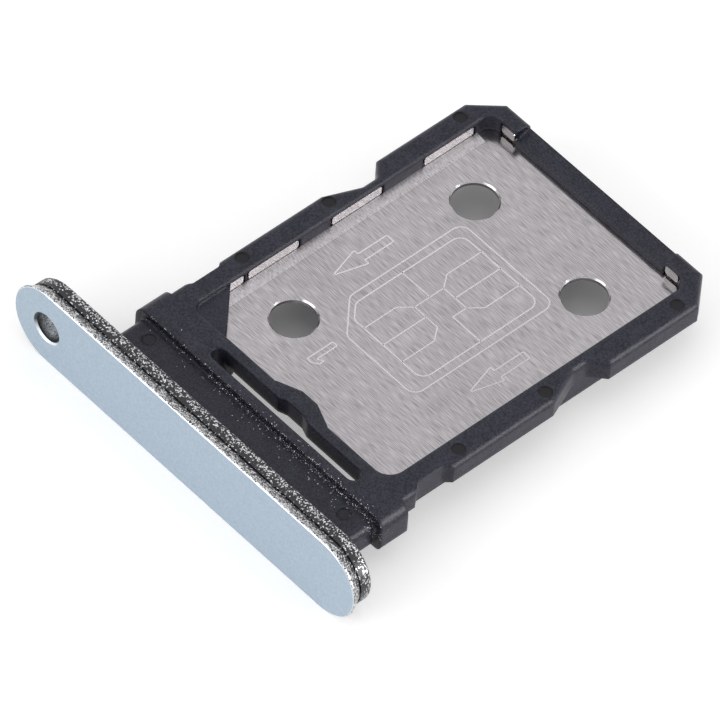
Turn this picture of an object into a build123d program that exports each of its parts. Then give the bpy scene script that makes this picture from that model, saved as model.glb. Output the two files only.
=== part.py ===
"""Phone card tray: a painted end cap, a moulded frame and a stamped metal card plate.

Millimetres. The tray is drawn with X = 0 on the centre line of the card pocket,
Y = 0 on the pocket's front wall and Z = 0 half way through the frame, with the cap
towards -Y. It is then moved so that the origin lies under the middle of its box.
"""

import os
from math import atan, degrees

from build123d import *

# Card pocket, the same above and below the plate
CARD_L = 12.3
CARD_W = 8.8
CARD_GAP_L = 0.05
CARD_GAP_W = 0.075
POCKET_L = CARD_L + 2 * CARD_GAP_L
POCKET_W = CARD_W + 2 * CARD_GAP_W
POCKET_FRONT_R = 0.6
POCKET_KEY_R = 0.35
POCKET_BACK_R = 0.42
MOUTH_EDGE = 0.04
CUT_LEG = 1.6
CUT_DEPTH = 0.2

# Frame
FRAME_T = 1.4
TOP = FRAME_T / 2
RAIL_WALL = 0.855
RAIL_LOW_WALL = 0.345
RAIL_X = POCKET_W / 2 + RAIL_WALL
RAIL_LOW_X = POCKET_W / 2 + RAIL_LOW_WALL
RAIL_H = 0.79
EDGE_R = 0.25
BACK_WALL = 0.62
BACK_Y = POCKET_L + BACK_WALL
BACK_CUT_X = 0.88
BACK_CUT_Y = 1.0

# Steps along the rails, from front to back
WAIST_DEPTH = 0.21
WAIST_X = RAIL_X - WAIST_DEPTH
WAIST_FROM = 0.38
WAIST_TO = 1.92
WAIST_RAMP = 0.24
NOTCH_RAMP_FROM = 6.05
NOTCH_FROM = 7.3
NOTCH_TO = 7.88
NOTCH_END = 8.34
NOTCH_R = 0.24
STEP_R = 0.12

# Back bar between the two posts
POST_W = 1.095
BAR_X = POCKET_W / 2 - POST_W
BAR_DROP_OUT = 0.27
BAR_DROP_IN = 0.4

# Shoulder and neck
SHOULDER_PROUD = 0.28
SHOULDER_X = RAIL_X + SHOULDER_PROUD
SHOULDER_FROM = -1.25
SHOULDER_TO = -0.16
SHOULDER_LOW = -TOP
SHOULDER_R = 0.5
SHOULDER_LOW_R = 0.25
NECK_SIDE = 0.3
NECK_DROP = 0.28
NECK_LIFT = 0.1
NECK_X = SHOULDER_X - NECK_SIDE
NECK_TOP = TOP - NECK_DROP
NECK_LOW = SHOULDER_LOW + NECK_LIFT
NECK_R = 0.3
NECK_LOW_R = 0.15
COLLAR_L = 0.22
COLLAR_RISE = 0.09

# Spring web in front of the pocket
WEB_T = 0.36
WEB_H = 0.7
SLOT_W = 0.52
SLOT_L = 6.6
SLOT_X = 0.57
BUMP_BASE = 2.35
BUMP_TOP = 0.66
BUMP_OUT = 0.34
BUMP_BACK = 0.12
BUMP_FACET = 0.12

# Ejector pin marks
PIN_D = 0.46
PIN_DEPTH = 0.05
PIN_RAIL_IN = 0.4
PIN_RAIL_X = RAIL_X - PIN_RAIL_IN
PIN_RAIL_Y = (2.47, 6.03, POCKET_L - 0.92)
PIN_NECK_IN = 0.86
PIN_NECK_X = NECK_X - PIN_NECK_IN
PIN_NECK_Y = -1.73

# Card plate
PLATE_T = 0.16
PLATE_Z = PLATE_T / 2
PLATE_BED = 0.2
PLATE_FRONT = 0.05
PLATE_CORNER = 0.45
WEB_CLEARANCE = 0.04
HOLE_D = 1.52
HOLE_EDGE = 0.05
HOLE_IN = 1.975
HOLE_X = POCKET_W / 2 - HOLE_IN
HOLE_Y = (2.45, POCKET_L - 2.47)
TAB_T = 0.12
TAB_L = 2.04
TAB_Y = (3.37, 6.8, POCKET_L - 1.78)
TAB_TOP = TOP - 0.17
TAB_LOW = PLATE_Z + 0.1
TAB_R = 0.1
TAB_GAP = 0.08
RISER_T = PLATE_BED - TAB_T
SHORT_TAB_L = 0.62
SHORT_TAB_Y = 1.82
BACK_TAB_L = 0.56
BACK_TAB_IN = 0.34
BEND_W = 0.4
BEND_RISE = 0.07
BEND_FROM = 0.6
BEND_TO = POCKET_L - 0.6
BACK_TAB_X = BAR_X + BACK_TAB_IN

# End cap
CAP_FRONT = -3.6
CAP_REAR = -2.7
CAP_R = 1.48
CAP_Z = -0.03
CAP_PAST_LEFT = 1.42
CAP_SHORT_RIGHT = 0.1
CAP_LEFT = -SHOULDER_X - CAP_PAST_LEFT
CAP_RIGHT = SHOULDER_X - CAP_SHORT_RIGHT
CAP_BAND_L = 0.08
CAP_TAPER_L = 0.37
CAP_WAIST_R = 1.29
CAP_RIM_R = 1.33
CAP_EDGE = 0.04
CAP_REAR_EDGE = 0.12
EJECT_D = 1.04
EJECT_LEAD = 0.07

# Small allowance by which a cutter runs past the face it cuts
OVER = 0.1

# From the drawing place to the middle of the underside of the whole tray
TO_ORIGIN = Location(
    (-(CAP_LEFT + CAP_RIGHT) / 2, -(CAP_FRONT + BACK_Y) / 2, CAP_R - CAP_Z)
)


def prism(face, low, high):
    """A flat outline in X and Y, from one height to another."""
    return extrude(Pos(0, 0, low) * face, high - low, dir=(0, 0, 1))


def block(x0, x1, y0, y1, z0, z1):
    """A plain block between two corners."""
    middle = Pos((x0 + x1) / 2, (y0 + y1) / 2, (z0 + z1) / 2)
    return middle * Box(x1 - x0, y1 - y0, z1 - z0)


def both_sides(shape):
    """The shape and its mirror image across the centre line."""
    return shape + mirror(shape, Plane.YZ)


def above_and_below(shape):
    """The shape and its mirror image below the plate."""
    return shape + mirror(shape, Plane.XY)


def lead_in(radius, edge):
    """Cone under Z = 0 that breaks the edge of a round hole."""
    return Cone(radius, radius + edge, edge, align=(Align.CENTER, Align.CENTER, Align.MAX))


def near(vertices, x, y):
    """The outline corner that stands at a place."""
    return vertices.sort_by_distance((x, y, 0))[0]


def pocket_outline():
    """Pocket seen from above, with its corners rounded."""
    half = POCKET_W / 2
    face = Pos(0, POCKET_L / 2) * Rectangle(POCKET_W, POCKET_L)
    face = fillet(near(face.vertices(), -half, 0), POCKET_KEY_R)
    face = fillet(near(face.vertices(), half, 0), POCKET_FRONT_R)
    for x in (-half, half):
        face = fillet(near(face.vertices(), x, POCKET_L), POCKET_BACK_R)
    return face


def cutter_with_mouth(face, low):
    """Cutter that opens at the top of the frame with a small bevel round its mouth."""
    mouth = extrude(Pos(0, 0, TOP - MOUTH_EDGE) * face, MOUTH_EDGE, dir=(0, 0, 1), taper=-45)
    return prism(face, low, TOP + OVER) + mouth


def half_outline(half_x):
    """Right half of the frame seen from above, with its back corner cut off."""
    points = [
        (0, SHOULDER_TO),
        (half_x, SHOULDER_TO),
        (half_x, BACK_Y - BACK_CUT_Y + (RAIL_X - half_x) * BACK_CUT_Y / BACK_CUT_X),
        (RAIL_X - BACK_CUT_X, BACK_Y),
        (0, BACK_Y),
    ]
    return make_face(Polyline(*points, close=True))


def waist_cut():
    """Plan of the shallow waist at the front of the rail."""
    points = [
        (RAIL_X + OVER, WAIST_FROM),
        (RAIL_X, WAIST_FROM),
        (WAIST_X, WAIST_FROM + WAIST_RAMP),
        (WAIST_X, WAIST_TO - WAIST_RAMP),
        (RAIL_X, WAIST_TO),
        (RAIL_X + OVER, WAIST_TO),
    ]
    face = make_face(Polyline(*points, close=True))
    for y in (WAIST_FROM + WAIST_RAMP, WAIST_TO - WAIST_RAMP):
        face = fillet(near(face.vertices(), WAIST_X, y), STEP_R)
    return face


def notch_cut():
    """Plan of the locking notch, with its long ramp and its rounded end."""
    points = [
        (RAIL_X + OVER, NOTCH_RAMP_FROM),
        (RAIL_X, NOTCH_RAMP_FROM),
        (RAIL_LOW_X, NOTCH_FROM),
        (RAIL_LOW_X, NOTCH_TO),
        (RAIL_X, NOTCH_END),
        (RAIL_X + OVER, NOTCH_END),
    ]
    face = make_face(Polyline(*points, close=True))
    for y in (NOTCH_FROM, NOTCH_TO):
        face = fillet(near(face.vertices(), RAIL_LOW_X, y), NOTCH_R)
    return face


def worn_edges(flange):
    """Upper edges that are rounded: the rail's outside, the back and the notch's end."""
    rounded = []
    for edge in flange.faces().sort_by(Axis.Z)[-1].edges():
        middle = edge @ 0.5
        beside_notch = middle.X > RAIL_LOW_X + OVER / 2 and NOTCH_TO < middle.Y < NOTCH_END
        if middle.X > RAIL_X - OVER or middle.Y > POCKET_L or beside_notch:
            rounded.append(edge)
    return rounded


def rails():
    """Guide flange with a rounded upper edge on a narrower wall below it."""
    low = TOP - RAIL_H
    flange = prism(half_outline(RAIL_X), low, TOP)
    flange -= prism(notch_cut(), low - OVER, TOP + OVER)
    flange = fillet(worn_edges(flange), EDGE_R)
    flange -= prism(waist_cut(), low - OVER, TOP + OVER)
    wall = prism(half_outline(RAIL_LOW_X), -TOP, low)
    return both_sides(flange + wall)


def cross_bar(half_x, low, high, low_r, high_r, front, back):
    """Bar across the tray, its upper and its lower long edges rounded."""
    bar = block(-half_x, half_x, front, back, low, high)
    long_edges = bar.edges().filter_by(Axis.Y).sort_by(Axis.Z)
    bar = fillet(long_edges[-2:], high_r)
    long_edges = bar.edges().filter_by(Axis.Y).sort_by(Axis.Z)
    return fillet(long_edges[:2], low_r)


def shoulder_and_neck():
    """Full-depth shoulder, the slimmer neck in front of it and the collar at the cap."""
    shoulder = cross_bar(
        SHOULDER_X, SHOULDER_LOW, TOP, SHOULDER_LOW_R, SHOULDER_R, SHOULDER_FROM, SHOULDER_TO
    )
    neck = cross_bar(NECK_X, NECK_LOW, NECK_TOP, NECK_LOW_R, NECK_R, CAP_REAR, SHOULDER_FROM)
    collar = cross_bar(
        NECK_X + COLLAR_RISE,
        NECK_LOW - COLLAR_RISE,
        NECK_TOP + COLLAR_RISE,
        NECK_LOW_R + COLLAR_RISE,
        NECK_R + COLLAR_RISE,
        CAP_REAR,
        CAP_REAR + COLLAR_L,
    )
    return shoulder + neck + collar


def spring_slot():
    """Slot behind which the web can bend, open below the web to the lower pocket."""
    near_y = -WEB_T - SLOT_W
    face = Pos(SLOT_X, -WEB_T - SLOT_W / 2) * SlotOverall(SLOT_L, SLOT_W)
    through = cutter_with_mouth(face, SHOULDER_LOW - OVER)
    reach = (SLOT_L - SLOT_W) / 2
    under = block(SLOT_X - reach, SLOT_X + reach, near_y, OVER, SHOULDER_LOW - OVER, TOP - WEB_H)
    return through + under


def bump():
    """Card brake: a flat-topped bump on the pocket side of the web."""
    base, top = BUMP_BASE / 2, BUMP_TOP / 2
    points = [
        (SLOT_X - base, -WEB_T / 2),
        (SLOT_X - base, 0),
        (SLOT_X - top, BUMP_OUT),
        (SLOT_X + top, BUMP_OUT),
        (SLOT_X + base, 0),
        (SLOT_X + base, -WEB_T / 2),
    ]
    face = make_face(Polyline(*points, close=True))
    for x in (SLOT_X - top, SLOT_X + top):
        face = fillet(near(face.vertices(), x, BUMP_OUT), BUMP_FACET)
    return prism(face, PLATE_Z + WEB_CLEARANCE, TOP)


def bump_hollow():
    """Shallow hollow in the slot side of the web, behind the bump."""
    points = [
        (SLOT_X - BUMP_TOP, -WEB_T - OVER),
        (SLOT_X - BUMP_TOP, -WEB_T),
        (SLOT_X - BUMP_TOP / 2, -WEB_T + BUMP_BACK),
        (SLOT_X + BUMP_TOP / 2, -WEB_T + BUMP_BACK),
        (SLOT_X + BUMP_TOP, -WEB_T),
        (SLOT_X + BUMP_TOP, -WEB_T - OVER),
    ]
    return prism(make_face(Polyline(*points, close=True)), -TOP, TOP + OVER)


def corner_filler():
    """Three-cornered filler that keys the card's cut corner, a little below the top."""
    corner = -POCKET_W / 2
    points = [
        (corner - OVER, -OVER),
        (corner + CUT_LEG + OVER, -OVER),
        (corner - OVER, CUT_LEG + OVER),
    ]
    face = make_face(Polyline(*points, close=True))
    return above_and_below(prism(face, PLATE_Z, TOP - CUT_DEPTH))


def bar_drop():
    """Cutter that lowers the back bar between the posts, sloping in to the pocket."""
    inner = POCKET_L - POCKET_BACK_R
    slope = (BAR_DROP_IN - BAR_DROP_OUT) / (BACK_Y - POCKET_L)
    points = [
        (inner, TOP + OVER),
        (inner, TOP - BAR_DROP_OUT - slope * (BACK_Y - inner)),
        (BACK_Y + OVER, TOP - BAR_DROP_OUT + slope * OVER),
        (BACK_Y + OVER, TOP + OVER),
    ]
    face = make_face(Plane.YZ * Polyline(*points, close=True))
    return above_and_below(extrude(face, BAR_X, dir=(1, 0, 0), both=True))


def pin_marks():
    """Shallow round marks that the mould's ejector pins leave."""
    places = [(PIN_RAIL_X, y, TOP) for y in PIN_RAIL_Y] + [(PIN_NECK_X, PIN_NECK_Y, NECK_TOP)]
    return both_sides(
        Part() + [Pos(*place) * Cylinder(PIN_D / 2, 2 * PIN_DEPTH) for place in places]
    )


def card_plate():
    """Stamped plate with three holes, and with small tabs bent up along the pocket."""
    edge_x = POCKET_W / 2 + PLATE_BED
    back = POCKET_L + PLATE_BED
    sheet = Pos(0, (PLATE_FRONT + back) / 2) * Rectangle(2 * edge_x, back - PLATE_FRONT)
    for x in (-edge_x, edge_x):
        sheet = chamfer(near(sheet.vertices(), x, back), PLATE_CORNER)
    plate = prism(sheet, -PLATE_Z, PLATE_Z)
    for x, y in ((-HOLE_X, HOLE_Y[0]), (-HOLE_X, HOLE_Y[1]), (HOLE_X, HOLE_Y[1])):
        plate -= Pos(x, y) * Cylinder(HOLE_D / 2, 2 * PLATE_T)
        plate -= Pos(x, y, PLATE_Z) * lead_in(HOLE_D / 2, HOLE_EDGE)
    return plate + edge_bend() + along_walls(tab)


def tab(length):
    """Tab standing on the plate, jogged forward so that its face ends at X = 0."""
    outline = Pos(0, (TAB_LOW + TAB_TOP) / 2) * RectangleRounded(length, TAB_TOP - TAB_LOW, TAB_R)
    face = Plane.YZ * outline
    riser = block(-TAB_T - RISER_T, -TAB_T, -length / 2, length / 2, 0, TAB_TOP)
    return extrude(face, TAB_T, dir=(-1, 0, 0)) + riser


def tab_window(length):
    """Opening in the moulded wall in front of a tab, clear below it and at its ends."""
    reach = length / 2 + TAB_GAP
    return block(-TAB_T, OVER, -reach, reach, PLATE_Z, TAB_TOP)


def edge_bend():
    """Shallow rise of the sheet along the left wall, where the tabs are bent from it."""
    wall = -POCKET_W / 2
    points = [(wall, 0), (wall + BEND_W, 0), (wall + BEND_W, PLATE_Z), (wall, PLATE_Z + BEND_RISE)]
    face = make_face(Plane.XZ * Polyline(*points, close=True))
    return extrude(Pos(0, BEND_FROM, 0) * face, BEND_TO - BEND_FROM, dir=(0, 1, 0))


def along_walls(make):
    """Three long tabs and one short one on the left wall, and one in each back post."""
    wall = -POCKET_W / 2
    placed = [Pos(wall, y, 0) * make(TAB_L) for y in TAB_Y]
    placed += [Pos(wall, SHORT_TAB_Y, 0) * make(SHORT_TAB_L)]
    for x in (-BACK_TAB_X, BACK_TAB_X):
        placed += [Pos(x, POCKET_L, 0) * Rot(0, 0, -90) * make(BACK_TAB_L)]
    return placed


def tray_frame():
    """Moulded frame round the card plate."""
    frame = rails() + shoulder_and_neck()
    pocket = cutter_with_mouth(pocket_outline(), PLATE_Z)
    frame -= above_and_below(pocket)
    frame -= prism(pocket_outline(), -PLATE_Z, PLATE_Z)
    frame -= bar_drop()
    frame -= along_walls(tab_window)
    frame += corner_filler()
    frame -= spring_slot()
    frame += bump()
    frame -= bump_hollow()
    frame -= pin_marks()
    return frame - card_plate()


def pill(radius):
    """Front outline of the cap at a given end radius."""
    middle = (CAP_LEFT + CAP_RIGHT) / 2
    length = CAP_RIGHT - CAP_LEFT + 2 * radius
    return Pos(middle, 0, 0) * Plane.XZ * SlotOverall(length, 2 * radius)


def front_cap():
    """Painted cap: a face section that narrows to the rear, a rim and the eject hole."""
    taper_from = CAP_FRONT + CAP_BAND_L
    rim_from = taper_from + CAP_TAPER_L
    slope = degrees(atan((CAP_R - CAP_WAIST_R) / CAP_TAPER_L))
    band = extrude(Pos(0, CAP_FRONT, 0) * pill(CAP_R), CAP_BAND_L, dir=(0, 1, 0))
    band = chamfer(band.faces().sort_by(Axis.Y)[0].edges(), CAP_EDGE)
    waist = extrude(Pos(0, taper_from, 0) * pill(CAP_R), CAP_TAPER_L, dir=(0, 1, 0), taper=slope)
    rim = extrude(Pos(0, rim_from, 0) * pill(CAP_RIM_R), CAP_REAR - rim_from, dir=(0, 1, 0))
    rim = fillet(rim.faces().sort_by(Axis.Y)[-1].edges(), CAP_REAR_EDGE)
    cap = band + waist + rim
    hole = Pos(CAP_LEFT, (CAP_FRONT + CAP_REAR) / 2, 0) * Rot(90, 0, 0)
    cap -= hole * Cylinder(EJECT_D / 2, 2 * (CAP_REAR - CAP_FRONT))
    cap -= Pos(CAP_LEFT, CAP_FRONT, 0) * Rot(90, 0, 0) * lead_in(EJECT_D / 2, EJECT_LEAD)
    return Pos(0, 0, CAP_Z) * cap


if __name__ == "__main__":
    os.makedirs("parts", exist_ok=True)
    export_step(TO_ORIGIN * front_cap(), "parts/front_cap.step")
    export_step(TO_ORIGIN * tray_frame(), "parts/tray_frame.step")
    export_step(TO_ORIGIN * card_plate(), "parts/card_plate.step")
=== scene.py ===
# %% [markdown]
# A phone's card tray is three pieces: a painted metal cap that closes the slot in the
# phone's side, a black moulded frame that slides in, and a stamped steel plate that the
# card lies on. All three are exact solids already, so this lesson keeps their shapes.
# What it adds is what a camera sees this close up: brushed steel, satin paint, a black
# finish full of metal flakes, fine moulded grain, and the thin marks that a laser
# draws on the plate.

# %% Load the solids
from math import cos, pi, radians, sin

import bpy
from mathutils import Matrix, Vector


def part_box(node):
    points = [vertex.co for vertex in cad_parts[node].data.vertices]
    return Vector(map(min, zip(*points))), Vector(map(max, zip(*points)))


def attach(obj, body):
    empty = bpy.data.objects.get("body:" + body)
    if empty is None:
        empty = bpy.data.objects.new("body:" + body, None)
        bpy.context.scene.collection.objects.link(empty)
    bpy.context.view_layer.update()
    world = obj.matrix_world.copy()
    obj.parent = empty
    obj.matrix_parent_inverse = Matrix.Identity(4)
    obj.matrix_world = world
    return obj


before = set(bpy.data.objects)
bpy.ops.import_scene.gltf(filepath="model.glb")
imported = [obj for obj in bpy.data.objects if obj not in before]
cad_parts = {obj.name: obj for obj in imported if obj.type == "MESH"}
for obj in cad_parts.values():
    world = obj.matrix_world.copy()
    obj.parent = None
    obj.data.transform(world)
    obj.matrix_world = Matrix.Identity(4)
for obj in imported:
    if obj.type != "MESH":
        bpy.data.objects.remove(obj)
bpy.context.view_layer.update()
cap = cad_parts["front_cap"]
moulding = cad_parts["tray_frame"]
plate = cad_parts["card_plate"]

# %% [markdown]
# Everything on the tray is laid out from one point: the middle of the wall between the
# spring web and the card pocket, at the height of the plate's upper face. The solids
# give it, so a later change of size carries the finishes and the marks with it.

# %% Find the pocket
MM = 0.001
PLATE_T = 0.16 * MM
PLATE_FRONT_GAP = 0.05 * MM

plate_low, plate_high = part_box("card_plate")
cap_low, cap_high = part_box("front_cap")
frame_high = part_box("tray_frame")[1]
PLATE_TOP = plate_low.z + PLATE_T
POCKET = Vector(((plate_low.x + plate_high.x) / 2, plate_low.y - PLATE_FRONT_GAP, PLATE_TOP))
print("pocket reference point in mm:", [round(v / MM, 3) for v in POCKET])

# %% [markdown]
# A finish is a network of nodes, and most of it is arithmetic: masks, mixes, offsets.
# Drawn as nodes it is hard to read, so a small class wraps one output socket and lets
# Python's own signs add the maths nodes. `1 - mask` then works as it looks.


# %% Write node maths as sums
def plug(port, value):
    """Link a flow to a socket, or set a plain value on it."""
    if isinstance(value, Flow):
        port.id_data.links.new(value.socket, port)
    else:
        port.default_value = value


class Flow:
    """What comes out of a node, ready to be used in a sum."""

    def __init__(self, socket):
        self.socket = socket

    def maths(self, operation, *terms):
        node = self.socket.id_data.nodes.new("ShaderNodeMath")
        node.operation = operation
        for port, term in zip(node.inputs, terms):
            plug(port, term)
        return Flow(node.outputs[0])

    def __add__(self, other):
        return self.maths("ADD", self, other)

    __radd__ = __add__

    def __sub__(self, other):
        return self.maths("SUBTRACT", self, other)

    def __rsub__(self, other):
        return self.maths("SUBTRACT", other, self)

    def __mul__(self, other):
        return self.maths("MULTIPLY", self, other)

    __rmul__ = __mul__

    def __pow__(self, other):
        return self.maths("POWER", self, other)

    def __gt__(self, other):
        return self.maths("GREATER_THAN", self, other)

    def __lt__(self, other):
        return self.maths("LESS_THAN", self, other)


# %% [markdown]
# Every finish starts the same way: one Principled shader and the place on the piece, in
# millimetres from the pocket's reference point. Object coordinates are used because the
# pieces sit at the origin, so the pattern keeps its true size and never slides.


# %% Start a finish
class Finish:
    """A material under construction."""

    def __init__(self, name):
        self.material = bpy.data.materials.new(name)
        self.material.use_nodes = True
        self.tree = self.material.node_tree
        self.shader = self.tree.nodes["Principled BSDF"]
        spot = self.add("ShaderNodeTexCoord", out="Object")
        moved = self.add("ShaderNodeVectorMath", {"operation": "SUBTRACT"}, {0: spot, 1: POCKET})
        self.place = self.add("ShaderNodeVectorMath", {"operation": "SCALE"}, {0: moved, "Scale": 1 / MM})
        axes = self.add("ShaderNodeSeparateXYZ", {}, {0: self.place}, out=None)
        self.x, self.y, self.z = [Flow(port) for port in axes.outputs]

    def add(self, kind, settings=None, inputs=None, out=0):
        """A node of any kind: its settings first, then the values or links it takes."""
        node = self.tree.nodes.new(kind)
        for name, value in (settings or {}).items():
            if name == "stops":
                set_stops(node.color_ramp, value)
            else:
                setattr(node, name, value)
        for name, value in (inputs or {}).items():
            plug(node.inputs[name], value)
        return node if out is None else Flow(node.outputs[out])

    def set(self, **sockets):
        """Values or links for the shader; an underscore stands for a space."""
        for name, value in sockets.items():
            plug(self.shader.inputs[name.replace("_", " ")], value)

    def mix(self, mask, first, second):
        """A colour that goes from the first to the second as the mask goes from 0 to 1."""
        return self.add(
            "ShaderNodeMix",
            {"data_type": "RGBA", "clamp_factor": True},
            {0: mask, 6: first, 7: second},
            out=2,
        )

    def ramp(self, value, stops):
        """A value read off a curve of (place, height) stops."""
        span = stops[-1][0] - stops[0][0]
        greys = [((at - stops[0][0]) / span, (v, v, v, 1)) for at, v in stops]
        return self.add("ShaderNodeValToRGB", {"stops": greys}, {0: (value - stops[0][0]) * (1 / span)})

    def stretched(self, x, y, z):
        """The place on the piece, with so many pattern cells to a millimetre each way."""
        return self.add("ShaderNodeVectorMath", {"operation": "MULTIPLY"}, {0: self.place, 1: (x, y, z)})

    def noise(self, vector, detail=2.0, roughness=0.5):
        return self.add(
            "ShaderNodeTexNoise",
            {},
            {"Vector": vector, "Scale": 1.0, "Detail": detail, "Roughness": roughness},
        )

    def flakes(self, per_mm):
        """A random number for each of many small cells, as for flakes in a lacquer."""
        cells = self.add(
            "ShaderNodeTexVoronoi", {}, {"Vector": self.place, "Scale": per_mm}, out="Color"
        )
        return self.add("ShaderNodeSeparateColor", {}, {0: cells}, out=0)

    def bump(self, height, depth_mm, under=None):
        inputs = {"Height": height, "Distance": depth_mm * MM, "Strength": 1.0}
        if under:
            inputs["Normal"] = under
        return self.add("ShaderNodeBump", {}, inputs)


def set_stops(ramp, stops):
    """Place a colour ramp's stops, of which there are at least two."""
    while len(ramp.elements) < len(stops):
        ramp.elements.new(0.5)
    for element, (at, colour) in zip(ramp.elements, stops):
        element.position = at
        element.color = colour


def dress(piece, finish):
    """Give a piece one finish all over."""
    if not piece.material_slots:
        piece.data.materials.append(finish.material)
    for holder in piece.material_slots:
        holder.material = finish.material
    print(piece.name, "wears", finish.material.name)


# %% [markdown]
# The card plate is stainless strip that was brushed across the tray before it was
# stamped. Brushing leaves grooves far longer than they are wide, so one noise is
# stretched along X until it turns into streaks. The same streaks tint the metal a
# little, change its roughness and tilt its surface. The tilt matters most: it is what
# smears a reflection across the grain and keeps it sharp along the grain.
#
# It is metal all over, and two places differ from the rest by small steps. The bend
# along the left wall is a little rougher, as stretched metal often is. The tabs above it
# are given a paler steel colour, a painted reflection that stands in for the light they mirror.

# %% Brushed steel
STREAK_PER_MM = 40.0
STREAK_LONG = 1.9
CLOUD_PER_MM = 0.35
BEND_W = 0.4
BEND_FROM = 0.4
BEND_TO = 12.0
BEND_FADE = 0.3
TAB_FROM = 0.09
WALL_IN = 0.2

steel = Finish("brushed_steel")
streak = steel.noise(steel.stretched(STREAK_LONG, STREAK_PER_MM, STREAK_PER_MM), detail=1.0)
coarse = steel.noise(steel.stretched(STREAK_LONG, STREAK_PER_MM / 4, STREAK_PER_MM / 4), detail=2.0)
cloud = steel.noise(steel.stretched(CLOUD_PER_MM, CLOUD_PER_MM, CLOUD_PER_MM), detail=1.0)
grain = streak * 0.88 + coarse * 0.12
tint = steel.ramp(grain + (cloud - 0.5) * 0.12, [(0.34, 0.0), (0.66, 1.0)])
brushed = steel.mix(tint, (0.30, 0.282, 0.290, 1), (0.54, 0.513, 0.528, 1))
# Painted reflection: a paler copy of the steel for the tabs that stand above the plate.
painted_tab_sheen = steel.mix(tint, (0.62, 0.60, 0.60, 1), (0.72, 0.70, 0.70, 1))
from_wall = steel.x - (plate_low.x - POCKET.x) / MM - WALL_IN
bent = steel.ramp(from_wall, [(BEND_W - 0.10, 1.0), (BEND_W + 0.04, 0.0)])
bent = bent * steel.ramp(
    steel.y,
    [(BEND_FROM, 0.0), (BEND_FROM + BEND_FADE, 1.0), (BEND_TO - BEND_FADE, 1.0), (BEND_TO, 0.0)],
)
raised = steel.z > TAB_FROM
steel.set(
    Base_Color=steel.mix(raised, brushed, painted_tab_sheen),
    Metallic=1.0,
    Roughness=0.12 + grain * 0.12 + bent * (1 - raised) * 0.12,
    Normal=steel.bump(grain, 0.0009),
)
dress(plate, steel)

# %% [markdown]
# The frame is black moulded plastic. Up close it is a satin charcoal with a very fine
# grain that glitters where a rounded edge turns to the light. A grain made by a bump
# needs no extra geometry. The base colour is two near blacks, mixed by the same noise
# as the bump, so the light and dark spots lie on the grain.

# %% Moulded plastic
GRAIN_PER_MM = 17.0
SPECK_PER_MM = 40.0
SHOULDER_Y = -1.25
EDGE_SOFT = 0.17

plastic = Finish("moulded_plastic")
fine = plastic.noise(plastic.stretched(GRAIN_PER_MM, GRAIN_PER_MM, GRAIN_PER_MM), detail=1.5)
soft = plastic.noise(plastic.stretched(2.0, 2.0, 2.0), detail=2.0)
mottled = plastic.ramp(fine * 0.75 + soft * 0.25, [(0.38, 0.0), (0.62, 1.0)])
charcoal = plastic.mix(mottled, (0.005, 0.005, 0.013, 1), (0.030, 0.030, 0.046, 1))

# %% [markdown]
# Pins push a moulding out of its mould and leave small round marks. The solid has them
# as shallow dents, which are too shallow to show by shade alone, so a painted shade
# darkens each one, strongly on the rails and less on the neck. The marks are the same on
# both sides, so the distance is taken from the absolute value of X, and one mask serves both.

# %% Pin marks in the plastic
PIN_R = 0.23
PIN_RAIL = (4.93, (2.47, 6.03, 11.48))
PIN_NECK = (4.45, (-1.73,))

side = plastic.x.maths("ABSOLUTE", plastic.x)
in_pin = 0.0
for (pin_x, places), dark in ((PIN_RAIL, 0.9), (PIN_NECK, 0.4)):
    for pin_y in places:
        reach = ((side - pin_x) ** 2 + (plastic.y - pin_y) ** 2) ** 0.5
        in_pin = (reach < PIN_R + 0.01) * dark + in_pin
in_pin = in_pin * (plastic.z > 0.0)
# Painted shade: the pin dents are darkened in the colour, nearly black on the rails.
pin_painted_shade = plastic.mix(in_pin, charcoal, (0.003, 0.003, 0.005, 1))

# %% [markdown]
# A few flakes of the cap's finish have settled on the step in front of the shoulder.
# They are cells of a Voronoi pattern, each with a random number of its own. A cell shows
# only where its number beats a threshold, and the threshold falls near the step, so the
# flakes crowd there and thin out. The last cell of this finish also rounds the edges: a
# Bevel node turns the normal near an edge, and the grain's bump is laid on top of that.

# %% Flakes that settled by the shoulder
SPECK_SHARE = 0.13
SPECK_ABOVE = -0.3

near_shoulder = plastic.ramp(
    plastic.y - SHOULDER_Y,
    [(-0.60, 0.0), (-0.16, 0.14), (-0.04, 1.0), (0.02, 1.0), (0.05, 0.06), (0.50, 0.0)],
)
to_right = plastic.ramp(plastic.x, [(-4.2, 0.2), (-1.0, 0.5), (3.0, 1.0), (4.8, 1.0), (5.8, 0.2)])
chance = plastic.flakes(SPECK_PER_MM)
glint = plastic.flakes(SPECK_PER_MM * 1.3)
speck = (chance > (1.0 - near_shoulder * to_right * SPECK_SHARE)) * (plastic.z > SPECK_ABOVE)
silver_speck = plastic.mix(glint, (0.12, 0.12, 0.13, 1), (0.95, 0.95, 0.95, 1))

# %% Put the plastic together
edges = plastic.add("ShaderNodeBevel", {"samples": 6}, {"Radius": EDGE_SOFT * MM})
plastic.set(
    Base_Color=plastic.mix(speck, pin_painted_shade, silver_speck),
    Metallic=speck * 0.7,
    Roughness=0.25 + fine * 0.16,
    Normal=plastic.bump(fine, 0.008, under=edges),
    Specular_IOR_Level=0.28,
)
dress(moulding, plastic)

# %% [markdown]
# The cap's face is satin paint, its front edge is a bright machined line, and its sides
# are a black lacquer packed with metal flakes, thinner in the groove between the two
# bands. The eject hole is bare metal with the same flakes, and its light and shade are
# painted in: painted shade near its mouth and on its right, paler deeper in, and a painted
# highlight on the lower side of its lead-in. All of it is one material: the depth behind
# the face says which finish a point has, and the distance from the hole's axis picks out
# the hole.

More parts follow.
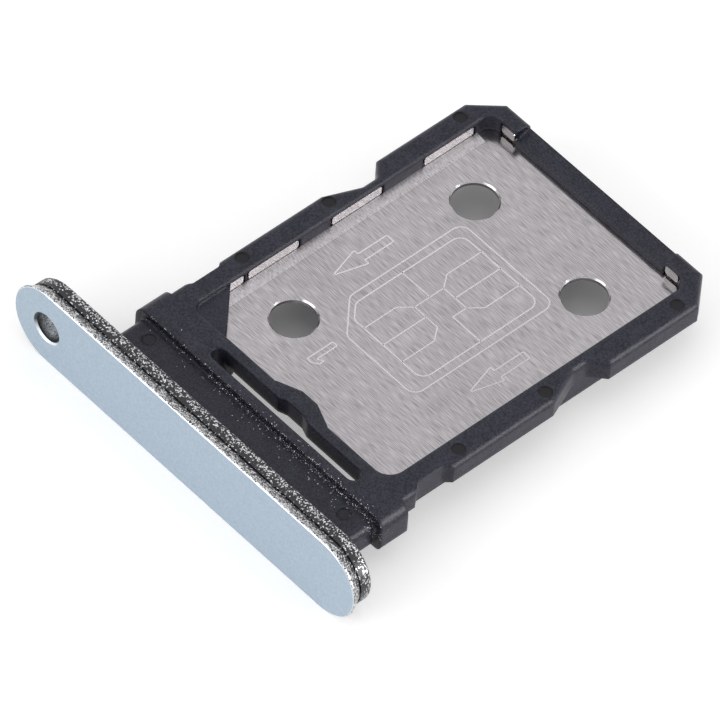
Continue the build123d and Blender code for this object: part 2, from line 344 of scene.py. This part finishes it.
# %% Cap finishes
FACE_DEEP = 0.004
LINE_DEEP = 0.022
FLAKE_PER_MM = 21.0
HOLE_R = 0.52
HOLE_LEAD = 0.07

cap_face = (cap_low.y - POCKET.y) / MM
cap_middle = ((cap_low.z + cap_high.z) / 2 - POCKET.z) / MM
hole_x = (cap_low.x + (cap_high.z - cap_low.z) / 2 - POCKET.x) / MM

lacquer = Finish("cap_lacquer")
deep = lacquer.y - cap_face
behind_face = deep > FACE_DEEP
behind_line = deep > LINE_DEEP
across = ((lacquer.x - hole_x) ** 2 + (lacquer.z - cap_middle) ** 2) ** 0.5
in_hole = across < HOLE_R + HOLE_LEAD + 0.01

front_band = [(0.0, 0.9), (0.12, 0.75), (0.26, 0.45), (0.38, 0.12)]
rear_band = [(0.58, 0.1), (0.66, 0.36), (0.86, 0.36), (0.9, 0.1)]
density = lacquer.ramp(deep, front_band + rear_band)
one = lacquer.flakes(FLAKE_PER_MM)
two = lacquer.flakes(FLAKE_PER_MM * 1.7)
is_flake = (1 - one) < density
shine = two ** 1.2
silver = lacquer.mix(shine, (0.10, 0.10, 0.11, 1), (1.0, 1.0, 1.0, 1))
sides = lacquer.mix(is_flake, (0.010, 0.010, 0.014, 1), silver)
to_left = (hole_x - lacquer.x) * (1 / HOLE_R)
downwards = (cap_middle - lacquer.z) * (1 / HOLE_R)
# Painted shade in the bore: dark near the mouth and on the right side, paler deeper in.
wall = lacquer.ramp(deep, [(0.10, 0.04), (0.30, 1.0)]) * lacquer.ramp(to_left, [(-0.6, 0.0), (0.0, 1.0)])
lead_in = across > HOLE_R + 0.004
# Painted highlight on the lower side of the lead-in, painted shade on its upper side.
lead_in_painted_highlight = lacquer.ramp(downwards, [(0.1, 0.04), (0.75, 1.0)])
painted_hole_light = wall * (0.10 + two * 0.80) * (1 - lead_in) + lead_in_painted_highlight * lead_in
bore = lacquer.mix(painted_hole_light, (0.035, 0.038, 0.045, 1), (0.80, 0.84, 0.88, 1))


# %% Put the cap together
MOTTLE_PER_MM = 14.0

mottle = lacquer.noise(lacquer.stretched(MOTTLE_PER_MM, MOTTLE_PER_MM, MOTTLE_PER_MM), detail=3.0)
dappled = lacquer.ramp(mottle, [(0.35, 0.0), (0.65, 1.0)])
paint = lacquer.mix(dappled, (0.362, 0.447, 0.535, 1), (0.418, 0.513, 0.606, 1))
line = lacquer.mix(behind_line, (0.66, 0.73, 0.78, 1), sides)
outside = lacquer.mix(behind_face, paint, line)
metal_side = behind_face * ((1 - behind_line) + behind_line * is_flake * 0.85)
lacquer.set(
    Base_Color=lacquer.mix(in_hole * behind_face, outside, bore),
    Metallic=metal_side * (1 - in_hole) + in_hole * behind_face * 0.6,
    Roughness=0.42 - behind_face * 0.08 + in_hole * 0.12,
    Normal=lacquer.bump(one * behind_line, 0.004),
)
dress(cap, lacquer)

# %% [markdown]
# A laser draws thin pale lines on the plate: the outline of a card with its contacts,
# and two arrows that show which way the card goes in. Each mark is a path with rounded
# corners, so Geometry Nodes draw them all: one tree rounds the corners of a path and
# runs a flat ribbon along it. The ribbon stands a few thousandths of a millimetre
# proud, so that it never flickers against the plate.


# %% A tree that turns paths into laser lines
def laser_tree():
    """Round the corners of a flat path and lay a ribbon along it."""
    tree = bpy.data.node_groups.new("laser_line", "GeometryNodeTree")
    face = tree.interface
    face.new_socket("Path", in_out="INPUT", socket_type="NodeSocketGeometry")
    face.new_socket("Width", in_out="INPUT", socket_type="NodeSocketFloat")
    face.new_socket("Height", in_out="INPUT", socket_type="NodeSocketFloat")
    face.new_socket("Corner radius", in_out="INPUT", socket_type="NodeSocketFloat")
    face.new_socket("Finish", in_out="INPUT", socket_type="NodeSocketMaterial")
    face.new_socket("Line", in_out="OUTPUT", socket_type="NodeSocketGeometry")
    given = tree.nodes.new("NodeGroupInput")
    fillet = tree.nodes.new("GeometryNodeFilletCurve")
    upright = tree.nodes.new("GeometryNodeSetCurveNormal")
    profile = tree.nodes.new("GeometryNodeCurvePrimitiveQuadrilateral")
    ribbon = tree.nodes.new("GeometryNodeCurveToMesh")
    realize = tree.nodes.new("GeometryNodeRealizeInstances")
    finish = tree.nodes.new("GeometryNodeSetMaterial")
    made = tree.nodes.new("NodeGroupOutput")
    fillet.mode = "POLY"
    fillet.inputs["Count"].default_value = 5
    fillet.inputs["Limit Radius"].default_value = True
    upright.mode = "Z_UP"
    ribbon.inputs["Fill Caps"].default_value = True
    for source, port, target, hole in (
        (given, "Path", fillet, "Curve"),
        (given, "Corner radius", fillet, "Radius"),
        (fillet, "Curve", upright, "Curve"),
        (upright, "Curve", ribbon, "Curve"),
        (given, "Width", profile, "Width"),
        (given, "Height", profile, "Height"),
        (profile, "Curve", ribbon, "Profile Curve"),
        (ribbon, "Mesh", realize, "Geometry"),
        (realize, "Geometry", finish, "Geometry"),
        (given, "Finish", finish, "Material"),
        (finish, "Geometry", made, "Line"),
    ):
        tree.links.new(source.outputs[port], target.inputs[hole])
    return tree


laser = laser_tree()
print("laser tree nodes:", len(laser.nodes))

# %% [markdown]
# Where the laser has been, the steel is roughened and scatters light, so a mark looks
# like a pale matt line and not like metal. A fine noise makes it uneven along its way.

# %% Finish of the laser lines
BURN_PER_MM = 18.0

etched = Finish("laser_mark")
burn = etched.noise(etched.stretched(BURN_PER_MM, BURN_PER_MM, BURN_PER_MM), detail=2.0)
etched.set(
    Base_Color=etched.mix(burn, (0.66, 0.635, 0.645, 1), (0.80, 0.77, 0.785, 1)),
    Metallic=0.0,
    Roughness=0.5,
)

# %% [markdown]
# One function draws any set of paths as a curve, hands it to the tree, and keeps the
# result as a plain mesh. The curve and its modifier are deleted after that, so what is
# left sits at the origin with its place in its mesh, and rides on the tray's one body.


# %% Draw paths and run the tree over them
def set_input(modifier, tree, name, value):
    """A modifier's input is reached by its socket's identifier."""
    for item in tree.interface.items_tree:
        if item.in_out == "INPUT" and item.name == name:
            modifier[item.identifier] = value


def laser_piece(name, paths, width, corner):
    """Closed and open paths, in millimetres from the pocket, as one mesh of laser lines."""
    line = bpy.data.curves.new(name + "_path", "CURVE")
    line.dimensions = "3D"
    for closed, points in paths:
        spline = line.splines.new("POLY")
        spline.points.add(len(points) - 1)
        for point, (x, y) in zip(spline.points, points):
            point.co = (POCKET.x + x * MM, POCKET.y + y * MM, POCKET.z + LINE_LIFT * MM, 1)
        spline.use_cyclic_u = closed
    path = bpy.data.objects.new(name + "_path", line)
    bpy.context.scene.collection.objects.link(path)
    modifier = path.modifiers.new("laser", "NODES")
    modifier.node_group = laser
    set_input(modifier, laser, "Width", width * MM)
    set_input(modifier, laser, "Height", LINE_HEIGHT * MM)
    set_input(modifier, laser, "Corner radius", corner * MM)
    set_input(modifier, laser, "Finish", etched.material)
    seen = path.evaluated_get(bpy.context.evaluated_depsgraph_get())
    mesh = bpy.data.meshes.new_from_object(seen)
    bpy.data.objects.remove(path)
    piece = bpy.data.objects.new(name, mesh)
    bpy.context.scene.collection.objects.link(piece)
    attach(piece, "root")
    print(name, "faces:", len(mesh.polygons))
    return piece


LINE_W = 0.05
LINE_HEIGHT = 0.006
LINE_LIFT = 0.001

# %% [markdown]
# The card mark is drawn from a few sizes: half its width, its two ends, and the leg of
# its cut corner. The inner line is the same shape with smaller numbers.

# %% Card outline
MARK_X = 0.04
CARD_HALF = 2.11
CARD_FROM = 3.21
CARD_TO = 9.0
CARD_CUT = 1.15
RIM = 0.32
RIM_FRONT = 0.62
INNER_CUT = 0.48


def cut_card(half, start, end, cut):
    """A card's outline with one corner cut off."""
    return [
        (MARK_X - half, start + cut),
        (MARK_X - half, end),
        (MARK_X + half, end),
        (MARK_X + half, start),
        (MARK_X - half + cut, start),
    ]


card = cut_card(CARD_HALF, CARD_FROM, CARD_TO, CARD_CUT)
inner = cut_card(CARD_HALF - RIM, CARD_FROM + RIM_FRONT, CARD_TO - RIM, INNER_CUT)
laser_piece("card_mark", [(True, card), (True, inner)], LINE_W, 0.36)

# %% [markdown]
# Inside the card are the outlines of its metal contacts. The front and back halves are
# alike but turned round, so a loop with two sets of sizes draws both, and three short
# paths join them at the waist.

# %% Contacts
CONTACT_X = 0.87
WAIST = 0.52
BACK_FROM = 6.8
FRONT_TO = 5.6
SLANT = 0.45
HOOK_Y = 6.23

back_edge = CARD_TO - RIM
front_edge = CARD_FROM + RIM_FRONT
side_edge = CARD_HALF - RIM
contacts = []
for edge, near, turn in ((back_edge, BACK_FROM, SLANT), (front_edge, FRONT_TO, -SLANT)):
    loop = [(-CONTACT_X, edge), (-CONTACT_X, near + turn), (-WAIST, near)]
    loop += [(WAIST, near), (CONTACT_X, near + turn), (CONTACT_X, edge)]
    contacts.append((False, [(MARK_X + x, y) for x, y in loop]))
    contacts.append((False, [(MARK_X, near), (MARK_X, edge)]))
contacts.append((False, [(MARK_X - WAIST, FRONT_TO), (MARK_X - WAIST, BACK_FROM)]))
contacts.append((False, [(MARK_X - side_edge, HOOK_Y), (MARK_X - WAIST, HOOK_Y)]))
hook = [(WAIST, BACK_FROM), (WAIST, HOOK_Y), (side_edge, HOOK_Y)]
contacts.append((False, [(MARK_X + x, y) for x, y in hook]))
laser_piece("contact_marks", contacts, LINE_W * 0.85, 0.02)

# %% [markdown]
# Two outlined arrows point to the cap. An arrow is the same on both sides of its middle,
# so only one half is listed and the other is its mirror image, read backwards.

# %% Arrows
ARROW_X = (-3.02, 3.12)
ARROW_Y = (4.52, 4.6)
ARROW_L = 2.36
HEAD_L = 1.17
HEAD_HALF = 0.34
SHAFT_HALF = 0.16


def arrow(x, tip):
    """An outlined arrow that points to the cap."""
    head = tip + HEAD_L
    half = [(0, tip), (HEAD_HALF, head), (SHAFT_HALF, head), (SHAFT_HALF, tip + ARROW_L)]
    return [(x + dx, y) for dx, y in half] + [(x - dx, y) for dx, y in half[:0:-1]]


arrows = [(True, arrow(x, tip)) for x, tip in zip(ARROW_X, ARROW_Y)]
laser_piece("arrow_marks", arrows, LINE_W * 1.1, 0.03)

# %% [markdown]
# One plain outlined numeral tells the two card places apart. Its top points to the cap,
# as the arrows do.

# %% Numeral
NUMERAL_X = -0.83
NUMERAL_Y = 2.73
NUMERAL_H = 1.05
STEM = 0.2
FLAG = 0.2

numeral = [
    (0, 0),
    (0, -NUMERAL_H + FLAG),
    (FLAG, -NUMERAL_H + 1.8 * FLAG),
    (FLAG, -NUMERAL_H + 0.7 * FLAG),
    (0, -NUMERAL_H),
    (-STEM, -NUMERAL_H),
    (-STEM, 0),
]
spot = [(NUMERAL_X + x, NUMERAL_Y + y) for x, y in numeral]
laser_piece("numeral_mark", [(True, spot)], LINE_W, 0.03)

# %% [markdown]
# The photograph was taken through a long lens, so near and far parts keep almost the
# same scale. The camera stands nearly 40 cm away, looks down at about 50 degrees, and
# is rolled a few degrees. It is placed by those angles about the point that falls on
# the middle of the picture.

# %% Camera
AZIMUTH = radians(44.658)
ELEVATION = radians(49.616)
ROLL = radians(4.506)
DISTANCE = 393.401 * MM
AIM = Vector((0.410, 2.514, 0.0)) * MM
SENSOR = 36.0
LENS = 647.77

back = Vector((sin(AZIMUTH) * cos(ELEVATION), -cos(AZIMUTH) * cos(ELEVATION), sin(ELEVATION)))
level = Vector((cos(AZIMUTH), sin(AZIMUTH), 0.0))
rise = back.cross(level)
right = cos(ROLL) * level + sin(ROLL) * rise
up = -sin(ROLL) * level + cos(ROLL) * rise
aim = Vector((POCKET.x, POCKET.y, frame_high.z)) + AIM

eye = bpy.data.objects.new("camera", bpy.data.cameras.new("camera"))
bpy.context.scene.collection.objects.link(eye)
eye.matrix_world = Matrix.LocRotScale(
    aim + back * DISTANCE, Matrix((right, up, back)).transposed().to_quaternion(), None
)
eye.data.sensor_width = SENSOR
eye.data.lens = LENS
eye.data.clip_start = 0.01
eye.data.clip_end = 10.0
bpy.context.scene.camera = eye
print("camera at", [round(v, 4) for v in eye.location])

# %% [markdown]
# The tray stands on a pale table under a white dome. The light is kept a little under a
# plain level: a matt grey finish comes out at about nine tenths of its own colour on the
# plate and the cap, and at three quarters beside the pocket's back wall.
# The background is made white another way, by a lift that only the camera, reflections
# and looks through glass meet, so it adds no light to the object. Under the tray the lift
# is masked out, so the floor seen through the holes stays in shadow.

# %% Floor and dome
FLOOR_HALF = 1.5
DOME = 0.58
SKY = (0.985, 0.99, 1.0, 1)
FLOOR_LIFT = 0.35
UNDER_X = -0.46
UNDER_HALF_X = 4.8
UNDER_Y = 7.06
UNDER_HALF_Y = 5.6



def seen_directly(tree):
    """1 for what the camera, a reflection or a look through glass meets, otherwise 0."""
    rays = tree.nodes.new("ShaderNodeLightPath")
    total = Flow(rays.outputs["Is Camera Ray"]) + Flow(rays.outputs["Is Glossy Ray"])
    return total.maths("MINIMUM", total + Flow(rays.outputs["Is Transmission Ray"]), 1.0)


paper = Finish("paper")
shaded = 1.0
for along, middle, half in ((paper.x, UNDER_X, UNDER_HALF_X), (paper.y, UNDER_Y, UNDER_HALF_Y)):
    off = along - middle
    inward = half - off.maths("ABSOLUTE", off)
    shaded = inward.maths("MINIMUM", inward.maths("MAXIMUM", inward, 0.0), 1.0) * shaded
paper.set(
    Base_Color=(0.85, 0.85, 0.85, 1),
    Roughness=0.9,
    Specular_IOR_Level=0.0,
    Emission_Color=paper.mix(shaded, (1, 1, 1, 1), (0, 0, 0, 1)),
    Emission_Strength=seen_directly(paper.tree) * FLOOR_LIFT,
)

floor_mesh = bpy.data.meshes.new("floor")
corners = [(x * FLOOR_HALF, y * FLOOR_HALF, 0.0) for x, y in ((-1, -1), (1, -1), (1, 1), (-1, 1))]
floor_mesh.from_pydata(corners, [], [(0, 1, 2, 3)])
floor_mesh.materials.append(paper.material)
floor = bpy.data.objects.new("floor", floor_mesh)
bpy.context.scene.collection.objects.link(floor)

world = bpy.data.worlds.new("dome")
bpy.context.scene.world = world
world.use_nodes = True
sky = world.node_tree.nodes["Background"]
sky.inputs["Color"].default_value = SKY
plug(sky.inputs["Strength"], seen_directly(world.node_tree) * (1 - DOME) + DOME)
print("dome strength on matt surfaces:", DOME)


# %% [markdown]
# A large weak box overhead brightens the bend and softens the shadows. A small strong
# one stands low behind the tray on the right and draws a line along the rounded edges.
# It has to stay low: from this camera, a tab's face and the bend below it act as two
# mirrors and look about 34 degrees up on that side. A lamp there would burn the tabs out
# white, and then the lamp has to move, not the colour of the steel. The third box, in
# front, lights the cap's face.

# %% Soft boxes
def soft_box(name, towards, far, width, height, radiance):
    """A rectangular lamp that faces the tray; radiance is how bright its face looks."""
    lamp = bpy.data.lights.new(name, "AREA")
    lamp.shape = "RECTANGLE"
    lamp.size = width
    lamp.size_y = height
    lamp.energy = radiance * pi * width * height
    holder = bpy.data.objects.new(name, lamp)
    bpy.context.scene.collection.objects.link(holder)
    away = Vector(towards).normalized()
    turn = away.to_track_quat("Z", "Y")
    holder.matrix_world = Matrix.LocRotScale(aim + away * far, turn, None)
    print(name, "power", round(lamp.energy, 3), "W")


soft_box("top_box", (0.05, 0.02, 1.0), 0.30, 0.34, 0.34, 0.4)
soft_box("edge_strip", (0.855, 0.474, 0.208), 0.30, 0.09, 0.128, 12.0)
soft_box("front_fill", (-0.25, -1.0, 0.45), 0.35, 0.30, 0.20, 2.7)

# %% [markdown]
# Standard view transform keeps the colours as written.

# %% Finish the scene
bpy.context.scene.view_settings.view_transform = "Standard"
